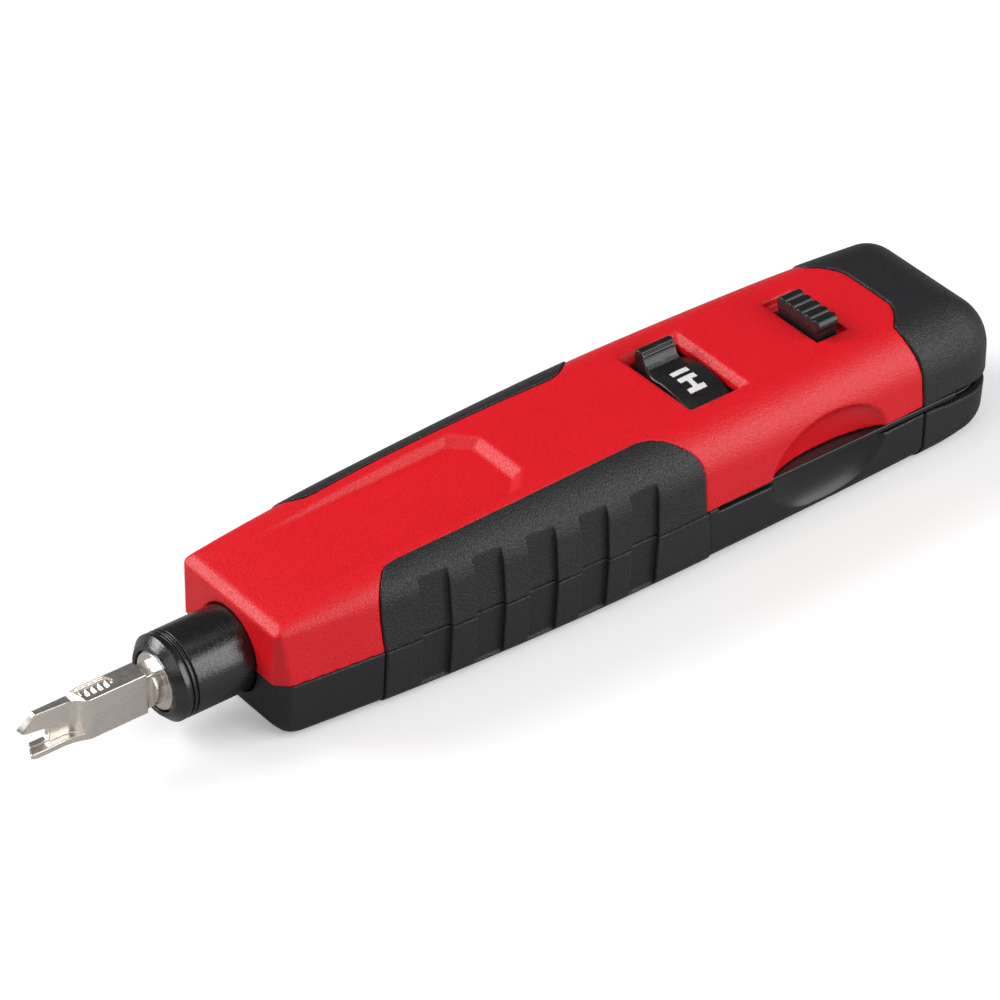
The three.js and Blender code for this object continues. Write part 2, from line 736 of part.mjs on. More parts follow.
function pickHook() {
  const shape = new THREE.Shape();
  shape.moveTo(130, PICK_EDGE_Y);
  shape.lineTo(131, PICK_EDGE_Y + 1);
  shape.lineTo(131, -9.6);
  shape.lineTo(118, -9.2);
  shape.lineTo(108, -12.4);
  shape.lineTo(90, -14.2);
  shape.absarc(87.4, -14.6, 1.2, 0, -Math.PI, true);
  shape.lineTo(84.6, -14.6);
  shape.lineTo(PICK_TIP_X, -15.6);
  shape.lineTo(PICK_TIP_X + 0.4, PICK_EDGE_Y);
  const options = { depth: PICK_THICK, bevelEnabled: false, curveSegments: 8 };
  const geometry = new THREE.ExtrudeGeometry(shape, options);
  geometry.translate(0, 0, PICK_TOP_Z - PICK_THICK);
  return solid(geometry).subtract(post(PICK_PIVOT.x, PICK_PIVOT.y, 1.6, -5, 5));
}

function pickPivotPin() {
  return post(PICK_PIVOT.x, PICK_PIVOT.y, 1.5, -6.5, 6.5);
}

// ---------------------------------------------------------------- screws

function screw(x, y) {
  const head = post(x, y, SCREW_HEAD_R, -7, -5);
  const socket = post(x, y, 0.9, -8, -6, 6);
  return head.subtract(socket).add(post(x, y, SCREW_SHANK_R, -5.2, 6, 16));
}

// ---------------------------------------------------------------- assembly

const tool = new THREE.Group();
const handleFrame = new THREE.Group();
handleFrame.position.set(-(BLADE_TIP_X + REAR_X + PROUD) / 2, 0, -BOTTOM_Z);
tool.add(handleFrame);

function place(name, manifold, material) {
  const mesh = new THREE.Mesh(geometryOf(manifold), material);
  mesh.name = name;
  handleFrame.add(mesh);
}

place('upper_shell', upperShell(), RED);
place('lower_shell', lowerShell(), CHARCOAL);
for (const [label, side] of [['near', -1], ['far', 1]]) {
  const region = gripRegion(side, 0);
  place(`grip_upper_${label}`, fluted(upperRubber(region), side), RUBBER);
  place(`grip_lower_${label}`, fluted(lowerRubber(region), side), RUBBER);
}
place('end_cap_upper', upperRubber(capRegion(0)), RUBBER);
place('end_cap_lower', lowerRubber(capRegion(0)), RUBBER);

place('plunger_sleeve', plungerSleeve(), BLACK_METAL);
place('blade_socket', bladeSocket(), NICKEL);
place('blade_retainer', bladeRetainer(), STEEL);
place('blade', blade(), NICKEL);
place('plunger_stem', plungerStem(), STEEL);
place('hammer', hammer(), STEEL);
place('trip_pin', tripPin(), STEEL);
place('guide_bush', guideBush(), ACETAL);
place('guide_tube', guideTube(), STEEL);
place('main_spring', mainSpring(), STEEL);
place('spring_seat', springSeat(), ACETAL);

place('impact_dial', impactDial(), GLOSS_BLACK);
place('dial_detent_spring', dialDetentSpring(), STEEL);
place('latch_slide', latchSlide(), CHARCOAL);
place('latch_spring', latchSpring(), STEEL);
place('pick_hook', pickHook(), BLACK_METAL);
place('pick_pivot_pin', pickPivotPin(), STEEL);
for (const [name, [x, y]] of Object.entries(SCREWS)) place(name, screw(x, y), STEEL);

export default tool;
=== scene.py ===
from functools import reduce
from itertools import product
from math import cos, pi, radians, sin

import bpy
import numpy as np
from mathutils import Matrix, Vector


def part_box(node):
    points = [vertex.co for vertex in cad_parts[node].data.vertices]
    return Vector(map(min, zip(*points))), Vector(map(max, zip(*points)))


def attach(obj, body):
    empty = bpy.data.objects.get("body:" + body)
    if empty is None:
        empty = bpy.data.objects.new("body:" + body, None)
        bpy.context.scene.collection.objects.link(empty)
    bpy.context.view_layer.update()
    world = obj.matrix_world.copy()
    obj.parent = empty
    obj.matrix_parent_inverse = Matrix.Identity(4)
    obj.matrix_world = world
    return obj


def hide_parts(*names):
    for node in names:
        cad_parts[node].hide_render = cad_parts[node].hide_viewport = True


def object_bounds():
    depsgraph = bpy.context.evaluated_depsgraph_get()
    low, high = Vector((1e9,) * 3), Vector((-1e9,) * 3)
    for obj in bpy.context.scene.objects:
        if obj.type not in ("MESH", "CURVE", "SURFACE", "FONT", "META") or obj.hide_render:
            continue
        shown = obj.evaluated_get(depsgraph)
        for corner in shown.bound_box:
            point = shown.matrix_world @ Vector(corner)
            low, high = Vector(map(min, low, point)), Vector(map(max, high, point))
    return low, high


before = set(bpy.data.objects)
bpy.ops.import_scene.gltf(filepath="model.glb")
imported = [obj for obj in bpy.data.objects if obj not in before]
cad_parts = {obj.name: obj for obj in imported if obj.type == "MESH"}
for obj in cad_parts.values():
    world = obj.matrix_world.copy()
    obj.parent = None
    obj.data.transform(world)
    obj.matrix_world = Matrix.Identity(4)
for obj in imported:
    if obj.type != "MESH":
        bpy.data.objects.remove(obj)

# Impact punch down tool: the visible pieces, their finishes, the studio and the camera.
#
# Shapes are written in millimetres in the handle's own frame: x runs back from the front
# face of the handle, y = 0 is its middle plane and z = 0 the parting plane of its shells.
# A shape is a function of x, y and z that is negative inside the solid, zero on its
# surface and grows by about one for each millimetre outside. skin_of() turns it into a mesh.

CAD_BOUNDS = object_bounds()
FRONT_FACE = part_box("lower_shell")[0].x
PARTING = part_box("lower_shell")[1].z
MM = 0.001

# ------------------------------------------------------------------ sizes, millimetres

AXIS_Z = 0.45
GAP = 0.2  # between the shells
WALL = 2.6
RUBBER = 1.35  # thickness of the rubber skins
PROUD = 0.25  # how far the rubber stands out from the shells
FIT = 0.12  # clearance round the rubber

REAR_X = 140.5
BOTTOM_Z = -10.5
WIDEST_X = 70
HALF_WIDTH = 17.4
HEIGHT = 13.65
BOTTOM_EDGE = 2.5
BOTTOM_DRAFT = 0.8
REAR_PLAN_EDGE = 6.9
NOSE_BOTTOM_EDGE = 4.5

WINDOW_X = (82.5, 92.1)
WINDOW_Y = 7.7
DIAL_X = (82.8, 91.6)
DIAL_R = 12.6
DIAL_CROWN = 0.02
DIAL_TURN = 32
TAB_X = (82.8, 89.6)
SLOT_X = (108.8, 115)
SLOT_Y = 6.75
TRAY_Z = 12.2
THUMB_X = (109.1, 113.2)
RIDGE_PITCH = 2.02

BLADE_HALF = 1.9
BARREL_R = 7
SOCKET_R = 5.2

SLIT_FRONT_X = 80.5
SLIT_TOP_Z = 0.25
PIVOT = (126, -11)
PIVOT_HOLE_R = 1.55
PIVOT_BOSS_R = 3.2
SCOOP = (103.6, -18, -0.7)
SCOOP_RADII = (12.6, 3.7, 9.3)
SCOOP_WALL = 1.4

FLUTE_X = [24.6 + 9.65 * i for i in range(5)]
FLUTE_LENGTH = 5.1
FLUTE_DEPTH = 0.8
FLUTE_FADE_Z = (-10.4, -8.8)

SCREW_HOLE_R = 1.2
SCREW_HEAD_R = 2.2
SCREW_WELL_R = 3
SCREW_BITE_R = 1
SCREW_POST_R = 2.2
SCREWS = {
    "screw_front_near": (10.5, -9.9),
    "screw_front_far": (10.5, 9.9),
    "screw_mid_near": (70, -9.9),
    "screw_mid_far": (70, 9.9),
    "screw_rear": (131.5, 4),
}

# ------------------------------------------------------------------ shapes


def length(*parts):
    return np.sqrt(sum(part * part for part in parts))


def both(a, b, blend=0.3):
    """What lies inside both shapes, with the new edge rounded off."""
    over = np.maximum(blend - np.abs(a - b), 0)
    return np.maximum(a, b) + over * over / (4 * blend)


def either(a, b, blend=0.3):
    """Two shapes joined, with a small fillet between them."""
    return -both(-a, -b, blend)


def without(a, b, blend=0.3):
    """The first shape with the second cut out of it."""
    return both(a, -b, blend)


def rounded(edge, *faces):
    """The solid behind several faces, with its edges rounded."""
    past = [face + edge for face in faces]
    outside = length(*(np.maximum(p, 0) for p in past))
    return outside + np.minimum(reduce(np.maximum, past), 0) - edge


def block(x, y, z, low, high, edge=0.2):
    """A box between two corners."""
    faces = [
        np.abs(v - (a + b) / 2) - (b - a) / 2
        for v, a, b in zip((x, y, z), low, high)
    ]
    return rounded(edge, *faces)


def column(x, y, z, centre, radius, low, high, edge=0.15):
    """An upright cylinder."""
    side = length(x - centre[0], y - centre[1]) - radius
    return rounded(edge, side, np.abs(z - (low + high) / 2) - (high - low) / 2)


def tube(x, y, z, radius, low, high, edge=0.1):
    """A cylinder about the plunger axis."""
    side = length(y, z - AXIS_Z) - radius
    return rounded(edge, side, np.abs(x - (low + high) / 2) - (high - low) / 2)


def outline(points, u, v):
    """Distance to a closed outline in a plane."""
    nearest = np.inf
    inside = False
    for (au, av), (bu, bv) in zip(points, points[1:] + points[:1]):
        du, dv = bu - au, bv - av
        along = ((u - au) * du + (v - av) * dv) / (du * du + dv * dv)
        along = np.clip(along, 0, 1)
        nearest = np.minimum(nearest, length(u - au - along * du, v - av - along * dv))
        if dv:
            spans = (v < av) != (v < bv)
            inside = inside ^ (spans & (u < au + du * (v - av) / dv))
    return np.where(inside, -nearest, nearest)


def ramp(v, low, high):
    """0 below low, 1 above high and a soft step between them."""
    t = np.clip((v - low) / (high - low), 0, 1)
    return t * t * (3 - 2 * t)


# ------------------------------------------------------------------ skinning


def crossings(value, cells):
    """The point where the surface passes through each cell, in cell units."""
    corner = {
        offset: value[tuple((cells + offset).T)]
        for offset in product((0, 1), repeat=3)
    }
    total = np.zeros((len(cells), 3))
    count = np.zeros(len(cells))
    for start, at_start in corner.items():
        for axis in range(3):
            if start[axis]:
                continue
            end = list(start)
            end[axis] = 1
            at_end = corner[tuple(end)]
            crossed = (at_start < 0) != (at_end < 0)
            drop = np.where(crossed, at_start - at_end, 1)
            share = np.where(crossed, at_start / drop, 0)
            total += crossed[:, None] * np.array(start)
            total[:, axis] += share
            count += crossed
    return cells + total / count[:, None]


def cell_quads(inside, index):
    """One quad round each grid edge that passes through the surface."""
    quads = []
    steps = np.eye(3, dtype=int)
    for axis in range(3):
        here = [slice(None)] * 3
        there = [slice(None)] * 3
        here[axis] = slice(None, -1)
        there[axis] = slice(1, None)
        edges = np.argwhere(inside[tuple(here)] != inside[tuple(there)])
        across, up = steps[(axis + 1) % 3], steps[(axis + 2) % 3]
        ring = np.stack([edges, edges - across, edges - across - up, edges - up], axis=1)
        quad = index[ring[..., 0], ring[..., 1], ring[..., 2]]
        falling = ~inside[tuple(edges.T)]
        quad[falling] = quad[falling][:, ::-1]
        quads.append(quad)
    return np.concatenate(quads)


def settled(shape, points, step):
    """Points moved on to the surface along its slope."""
    reach = step * 0.1
    for _ in range(2):
        value = shape(*points.T)
        slope = np.stack(
            [(shape(*(points + reach * unit).T) - value) / reach for unit in np.eye(3)],
            axis=1,
        )
        steepness = np.maximum((slope * slope).sum(axis=1), 0.25)
        move = np.clip(value / steepness, -step / 2, step / 2)
        points = points - slope * move[:, None]
    return points


def skin_of(shape, low, high, step):
    """Vertices and quads over the surface of a shape that lies between two corners."""
    axes = [np.arange(a - 2 * step, b + 3 * step, step) for a, b in zip(low, high)]
    value = shape(*np.ix_(*axes)) + np.zeros([len(axis) for axis in axes])
    inside = value < 0
    size = [len(axis) - 1 for axis in axes]
    filled = np.zeros(size, dtype=int)
    for offset in product((0, 1), repeat=3):
        filled += inside[tuple(slice(o, o + n) for o, n in zip(offset, size))]
    mixed = (filled > 0) & (filled < 8)
    cells = np.argwhere(mixed)
    index = np.full(size, -1)
    index[mixed] = np.arange(len(cells))
    origin = np.array([axis[0] for axis in axes])
    points = origin + step * crossings(value, cells)
    return settled(shape, points, step), cell_quads(inside, index)


def in_place(points):
    """Handle millimetres to the frame's metres."""
    return np.asarray(points) * MM + np.array([FRONT_FACE, 0, PARTING])


def piece(name, points, faces, material, body, replaces=(), keep=1.0):
    """A mesh piece on a body; keep is the share of its triangles that stay."""
    mesh = bpy.data.meshes.new(name)
    mesh.from_pydata(in_place(points).tolist(), [], np.asarray(faces).tolist())
    mesh.shade_smooth()
    mesh.materials.append(material)
    made = bpy.data.objects.new(name, mesh)
    bpy.context.scene.collection.objects.link(made)
    if keep < 1:
        thin = made.modifiers.new("thin", "DECIMATE")
        thin.ratio = keep
        graph = bpy.context.evaluated_depsgraph_get()
        made.data = bpy.data.meshes.new_from_object(made.evaluated_get(graph))
        made.modifiers.clear()
        bpy.data.meshes.remove(mesh)
        made.data.name = name
    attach(made, body)
    if replaces:
        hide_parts(*replaces)
    return made


def turned(name, profile, material, body, replaces=(), sides=128):
    """A piece turned about the plunger axis from a closed profile of (x, radius)."""
    angles = [2 * pi * i / sides for i in range(sides)]
    points = [(x, r * sin(a), AXIS_Z + r * cos(a)) for a in angles for x, r in profile]
    count = len(profile)
    faces = []
    for i, j in product(range(sides), range(count)):
        k, m = (i + 1) % sides, (j + 1) % count
        faces.append((i * count + j, i * count + m, k * count + m, k * count + j))
    return piece(name, points, faces, material, body, replaces)


def eased(corners, radius, steps=4):
    """A closed profile with its corners rounded off."""
    path = []
    count = len(corners)
    for i, corner in enumerate(corners):
        before, after = Vector(corners[i - 1]), Vector(corners[(i + 1) % count])
        at = Vector(corner)
        reach = min(radius, (before - at).length * 0.45, (after - at).length * 0.45)
        start = at + (before - at).normalized() * reach
        end = at + (after - at).normalized() * reach
        for k in range(steps + 1):
            t = k / steps
            path.append(tuple(start * (1 - t) ** 2 + at * 2 * t * (1 - t) + end * t * t))
    return path


# ------------------------------------------------------------------ handle body


def half_width(x):
    """The bow of the sides, widest beside the grips."""
    fall = np.where(x < WIDEST_X, 0.00089, 0.00032)
    return HALF_WIDTH - fall * (x - WIDEST_X) ** 2


def top_height(x):
    """The crown of the top, which falls away towards both ends."""
    front = 0.00098 * np.maximum(60 - x, 0) ** 2
    rear = 0.0011 * np.maximum(x - 110, 0) ** 2
    return HEIGHT - front - rear


def top_edge(x):
    """Radius of the upper long edges, small at the nose and large along the handle."""
    rise = np.clip((x - 2) / 62, 0, 1)
    rear = np.clip(x - 64, 0, 68)
    return 1.7 + 5.4 * np.sin(pi / 2 * rise) + 0.0003 * rear**2


def side_lean(x):
    """How far the upper sides lean in for each millimetre of height; none at the rear."""
    return 0.09 * (1 - ramp(x, 30, 85))


def side_face(x, y, z):
    """Distance out from the sides, which lean in a little above and below the parting."""
    lean = side_lean(x) * np.maximum(z, 0) + BOTTOM_DRAFT * np.maximum(z / BOTTOM_Z, 0)
    return np.abs(y) - half_width(x) + lean


def nose_sides(x, y):
    """The upright chamfers between the front face and the sides."""
    return -0.69 * (x - 0.5) + 0.72 * (np.abs(y) - 11.8)


def upper_body(x, y, z):
    plan = rounded(REAR_PLAN_EDGE, side_face(x, y, z), x - REAR_X)
    body = rounded(top_edge(x), plan, z - top_height(x))
    front = 0.035 * np.maximum(z, 0) - x
    brow = -0.64 * (x - 0.32) + 0.77 * (z - 9.1)
    nose = both(both(front, brow, 0.3), nose_sides(x, y), 0.3)
    return both(body, nose, 0.3)


def lower_body(x, y, z):
    plan = rounded(REAR_PLAN_EDGE, side_face(x, y, z), x - REAR_X)
    plan = both(plan, nose_sides(x, y), 0.3)
    floor = rounded(NOSE_BOTTOM_EDGE, BOTTOM_Z - z, -x)
    return rounded(BOTTOM_EDGE + 1.5 * ramp(x, 128, 138), plan, floor)


# Outlines seen from above: x and the distance from the middle plane.
GRIP_PLAN = [
    (17.6, 25), (17.6, 14.5), (18, 13.8), (19, 12.7), (20.5, 11.2), (21.6, 10.65), (23.5, 10.5),
    (34, 10.9), (46, 11.05), (58, 11), (69, 10.8), (71, 11.3), (72.9, 12.5), (75.1, 14.6),
    (76.9, 16.4), (77.6, 17.6), (77.7, 25),
]
CAP_PLAN = [
    (125.2, 0), (125.1, 5.5), (124.4, 7.2), (123, 9.1), (121.5, 10.6), (121.5, 12.2),
    (121.9, 14.4), (122.6, 16.2), (123, 18), (123, 25), (150, 25), (150, 0),
]


def grip_region(x, y, z):
    """Where the side grips cover the shells."""
    wide = np.abs(y)
    upper = outline(GRIP_PLAN, x - 0.06 * np.clip(7.5 - z, 0, 7.5), wide)
    lower = both(both(x - 78.3 + 0.12 * z, 18.2 - x), 12.6 - wide)
    return np.where(z > 0, upper, lower)


def cap_region(x, y, z):
    """Where the rubber cap covers the rear of the shells."""
    upper = outline(CAP_PLAN, x - 0.09 * np.clip(8 - z, 0, 8), np.abs(y))
    lower = 123.8 - 0.06 * z - 1.2 * ramp(-z, 8, 10.5) - x
    return np.where(z > 0, upper, lower)


def slit(x, y, z):
    """The slot the pick folds into, along the near side and round the rear corner."""
    drop = 0.75 + 0.6 * np.clip((x - SLIT_FRONT_X) / 35, 0, 1) + 0.7 * ramp(x, 124, 131)
    side = rounded(0.3, z - SLIT_TOP_Z, -drop - z, SLIT_FRONT_X - x, y + 8.8)
    rear = rounded(0.2, z - SLIT_TOP_Z, -1 - z, 117 - x, y + 4.6)
    return np.minimum(side, rear)


def scoop(x, y, z, grow=0):
    """The oval thumb scoop in both shells."""
    scaled = [(v - c) / (r + grow) for v, c, r in zip((x, y, z), SCOOP, SCOOP_RADII)]
    fine = [s / (r + grow) for s, r in zip(scaled, SCOOP_RADII)]
    size = length(*scaled)
    return size * (size - 1) / np.maximum(length(*fine), 1e-6)


def top_recess(x, y, z):
    """Shallow thumb recess, deepest at its rear and fading out forwards."""
    floor = 11 + 1.1 * (x - 8) / 41.6
    rise = z - floor
    wide = np.abs(y)
    sides = 0.7 * (wide - 7.7 - rise)
    rear = 0.64 * (x - 49.6 - 1.2 * rise)
    corner = 0.6 * (0.72 * (x - 46.9) + 0.694 * (wide - 7.7) - rise)
    walls = both(both(sides, rear, 0.15), corner, 0.15)
    return both(walls, -0.8 * rise, 0.25)


def window(x, y, z):
    """The selector's opening with its wide bevel."""
    opening = block(x, y, z, (WINDOW_X[0], -WINDOW_Y, 8), (WINDOW_X[1], WINDOW_Y, 20), 0.3)
    rise = z - 12.35
    rear = 0.76 * (x - WINDOW_X[1] - 0.85 * rise)
    front = 0.7 * (WINDOW_X[0] - 0.2 - x - 1.05 * rise)
    sides = 0.62 * (np.abs(y) - WINDOW_Y - 1.25 * rise)
    bevel = both(both(rear, front, 0.4), sides, 0.4)
    return np.minimum(opening, np.maximum(bevel, -1 - rise))


def slide_slot(x, y, z):
    """The shallow tray of the lock slide, and the slit its neck passes through."""
    tray = block(x, y, z, (SLOT_X[0], -SLOT_Y, TRAY_Z), (SLOT_X[1], SLOT_Y, 20), 0.3)
    slit_low = (SLOT_X[0] + 1.1, -SLOT_Y + 1.35, 8)
    slit_high = (SLOT_X[1] - 1.7, SLOT_Y - 1.35, 20)
    neck_slit = block(x, y, z, slit_low, slit_high, 0.2)
    rise = z - HEIGHT + 0.3
    ends = np.abs(x - sum(SLOT_X) / 2) - (SLOT_X[1] - SLOT_X[0]) / 2 - rise
    rim = 0.7 * np.maximum(ends, np.abs(y) - SLOT_Y - rise)
    return np.minimum(np.minimum(tray, neck_slit), rim)


# ------------------------------------------------------------------ shells

# Cross walls: where each starts and ends, and the radius of its bore.
BULKHEADS = [
    (6.6, 7.9, 7.35), (14.1, 15.4, 7.35), (39, 40.4, 7.65), (76.6, 78, 7.65), (99, 100.6, 0),
]


def inner_walls(x, y, z):
    """Walls and screw posts left standing inside the shells."""
    solid = np.inf
    for low, high, bore in BULKHEADS:
        wall = np.abs(x - (low + high) / 2) - (high - low) / 2
        solid = np.minimum(solid, np.maximum(wall, bore - length(y, z - AXIS_Z)))
    for centre in SCREWS.values():
        solid = np.minimum(solid, length(x - centre[0], y - centre[1]) - SCREW_POST_R)
    return solid


def shell(body, x, y, z, extra, cuts):
    """A moulded half: its outside, hollowed to a wall, with its rubber beds and cuts."""
    hollow = np.maximum(body + WALL, -scoop(x, y, z, SCOOP_WALL))
    hollow = without(hollow, np.minimum(inner_walls(x, y, z), extra), 0.5)
    made = without(body, hollow)
    covered = np.minimum(grip_region(x, y, z), cap_region(x, y, z)) - FIT
    made = without(made, np.maximum(covered, -(body + RUBBER + FIT)), 0.2)
    made = without(made, slit(x, y, z), 0.25)
    made = without(made, scoop(x, y, z), 0.2)
    made = without(made, tube(x, y, z, BARREL_R + 0.15, -5, 7), 0.12)
    made = without(made, tube(x, y, z, BARREL_R + 1.75, 7.9, 14.1), 0.2)
    for cut in cuts:
        made = without(made, cut)
    return made


def upper_shell(x, y, z):
    pin = length(x - PIVOT[0], y - PIVOT[1])
    holes = [column(x, y, z, centre, SCREW_BITE_R, -1, 7) for centre in SCREWS.values()]
    holes.append(column(x, y, z, PIVOT, PIVOT_HOLE_R, -1, 8))
    body = upper_body(x, y, z)
    made = shell(body, x, y, z, pin - PIVOT_BOSS_R, holes)
    made = without(made, top_recess(x, y, z), 0.25)
    made = without(made, window(x, y, z), 0.3)
    made = without(made, slide_slot(x, y, z), 0.25)
    return both(made, GAP - z, 0.1)


def lower_shell(x, y, z):
    pin = np.maximum(length(x - PIVOT[0], y - PIVOT[1]) - PIVOT_BOSS_R, z + 2.3)
    wells = []
    holes = [column(x, y, z, PIVOT, PIVOT_HOLE_R, -8, 1)]
    for centre in SCREWS.values():
        side = length(x - centre[0], y - centre[1]) - SCREW_WELL_R
        wells.append(np.maximum(side, z + 4))
        holes.append(column(x, y, z, centre, SCREW_HOLE_R, -20, 1))
        holes.append(column(x, y, z, centre, SCREW_HEAD_R, -20, -5))
    body = lower_body(x, y, z)
    made = shell(body, x, y, z, reduce(np.minimum, wells, pin), holes)
    return both(made, z, 0.1)


# ------------------------------------------------------------------ rubber


def flutes(x, y, z):
    """Five flat-bottomed hollows across each grip, running out near its lower edge."""
    fade = ramp(z, *FLUTE_FADE_Z)
    depth = FLUTE_DEPTH * fade - 0.3 * (1 - fade)
    floor = PROUD - depth - side_face(x, y, z)
    across = np.inf
    for start in FLUTE_X:
        across = np.minimum(across, np.abs(x - start - FLUTE_LENGTH / 2) - FLUTE_LENGTH / 2)
    return both(across, floor, 0.15)


def rubber(body, region, x, y, z):
    """A moulded skin over part of the body, standing a little proud of it."""
    skin = both(body - PROUD, region, 0.3)
    skin = np.maximum(skin, -(body + RUBBER))
    return without(skin, slit(x, y, z), 0.25)


def upper_grip(x, y, z):
    body = upper_body(x, y, z)
    grip = rubber(body, grip_region(x, y, np.abs(z) + 1), x, y, z)
    grip = without(grip, flutes(x, y, z), 0.12)
    return both(grip, GAP - z, 0.1)


def lower_grip(x, y, z):
    body = lower_body(x, y, z)
    grip = rubber(body, grip_region(x, y, -np.abs(z) - 1), x, y, z)
    grip = without(grip, flutes(x, y, z), 0.12)
    return both(both(grip, z, 0.1), BOTTOM_Z - z, 0.2)


def upper_cap(x, y, z):
    body = upper_body(x, y, z)
    cap = rubber(body, cap_region(x, y, np.abs(z) + 1), x, y, z)
    return both(cap, GAP - z, 0.1)


def lower_cap(x, y, z):
    body = lower_body(x, y, z)
    cap = rubber(body, cap_region(x, y, -np.abs(z) - 0.01), x, y, z)
    return both(both(cap, z, 0.1), BOTTOM_Z - z, 0.2)


# ------------------------------------------------------------------ blade


def blade_outline():
    """The blade seen from the near side."""
    side = [
        (-15.9, -3.55), (-34.6, -3.55), (-35.4, -3.4), (-35.8, -3.1), (-35.9, -2.8),
        (-35.6, -2.4), (-32, -2.4), (-31.7, -2.15), (-31.6, -1.4), (-31.75, -0.8),
        (-32.4, -0.15), (-35.5, 0.12), (-36, 0.35), (-36.5, 0.9), (-36.7, 1.35),
        (-36.6, 1.65), (-33.75, 3.1), (-27.8, 3.1), (-26.4, 3.72), (-15.9, 3.65),
    ]
    return [(x, z + AXIS_Z) for x, z in side]


# The pocket in the blade's top, seen from above.
THUMB_POCKET = [(-26.7, 1.65), (-21.3, 1.65), (-20.6, 0.3), (-21.3, -0.87), (-26.2, -0.87)]


def blade(x, y, z):
    rise = z - AXIS_Z
    body = rounded(0.12, outline(blade_outline(), x, z), np.abs(y) - BLADE_HALF)
    # The tip is ground thin from the near side, down to a rail along its lower edge.
    slope = 0.86 * (x + 26.4 + 0.58 * (y + BLADE_HALF))
    wall = y - 0.75 + 0.075 * (x + 33.7)
    body = without(body, both(both(slope, wall, 0.8), -2.5 - rise, 0.3), 0.15)
    rail = both(0.93 * (y + BLADE_HALF + 0.39 * (x + 26.05)), y + 0.9, 0.6)
    body = without(body, rail, 0.15)
    # The upper prong ends in a twisted cutting face; the lower one slopes back.
    tilt = np.radians(36 + 16 * np.clip(y - 0.76, 0, 1.14))
    edge = 0.9 * (np.sin(tilt) * (rise - 3.08) - np.cos(tilt) * (x + 33.8))
    heel = 0.89 * (0.5 * (y + 0.9) - x - 35.9)
    body = both(body, np.where(rise > -1, edge, heel), 0.12)
    pocket = rounded(0.2, outline(THUMB_POCKET, x, y), 3.2 - rise)
    body = without(body, pocket, 0.2)
    for i in range(5):
        middle = -26 + 1.15 * i
        rib = block(x, y, z, (middle - 0.3, -1.2, 0), (middle + 0.3, 0.8, AXIS_Z + 3.68), 0.12)
        body = either(body, rib, 0.1)
    neck = block(x, y, z, (-16.4, -1.75, AXIS_Z - 3), (-13.2, 1.75, AXIS_Z + 3.1), 0.25)
    collar = tube(x, y, z, 4.6, -13.4, -13.16, 0.1)
    shank = tube(x, y, z, 3, -15, 1.6)
    return either(either(body, neck, 0.25), either(collar, shank, 0.2), 0.35)


# ------------------------------------------------------------------ selector dial


# The tab seen from the front: y and z.
TAB_SIDE = [
    (1.2, 12.3), (2.6, 12.75), (3.6, 13.15), (4.3, 13.7), (4.75, 14.4), (5, 15), (5.35, 15.6),
    (5.9, 15.9), (6.45, 15.8), (6.8, 15.3), (6.95, 14.4), (6.95, 11),
]


def dial(x, y, z):
    radius = length(y, z - AXIS_Z)
    angle = np.degrees(np.arctan2(y, z - AXIS_Z))
    middle = sum(DIAL_X) / 2
    width = np.abs(x - middle) - (DIAL_X[1] - DIAL_X[0]) / 2
    crown = DIAL_R - DIAL_CROWN * (x - middle) ** 2
    arc = radius * np.radians(np.abs(angle - 16) - 58)
    rim = both(rounded(0.25, width, radius - crown, 7 - radius), arc, 0.3)
    hollow = np.maximum(np.maximum(radius - DIAL_R + 1.4, 9.4 - radius), arc + 0.9)
    rim = without(rim, np.maximum(hollow, DIAL_X[0] + 1.6 - x))
    hub = rounded(0.15, width, radius - 7.5, 6.5 - radius)
    off_tab = np.abs(x - sum(TAB_X) / 2) - (TAB_X[1] - TAB_X[0]) / 2
    tab = rounded(0.3, outline(TAB_SIDE, y, z), off_tab)
    made = either(either(rim, hub, 0.2), tab, 0.7)
    for y_groove, z_groove in ((4.83, 14.63), (5.19, 15.32)):
        groove = length(y - y_groove, z - z_groove) - 0.14
        made = without(made, np.maximum(groove, off_tab + 0.5), 0.08)
    for turn in (180, 180 + DIAL_TURN):
        swing = np.abs((angle - turn + 180) % 360 - 180) - 8
        notch = np.maximum(radius * np.radians(swing), 7.25 - radius)
        made = without(made, np.maximum(notch, np.abs(x - 87.1) - 1.1), 0.1)
    return made


def letter_h(u, v):
    posts = np.abs(np.abs(u) - 1.3) - 0.5
    bar = np.maximum(np.abs(v) - 0.45, np.abs(u) - 1.4)
    return np.maximum(np.minimum(posts, bar), np.abs(v) - 1.65)


def letter_i(u, v):
    return np.maximum(np.abs(u) - 0.52, np.abs(v) - 1.65)


def letter_l(u, v):
    post = np.abs(u + 0.8) - 0.5
    foot = np.maximum(v + 0.75, np.abs(u) - 1.3)
    return np.maximum(np.minimum(post, foot), np.abs(v) - 1.65)


def letter_o(u, v):
    return np.abs(rounded(0.8, np.abs(u) - 1.15, np.abs(v) - 1.2)) - 0.45


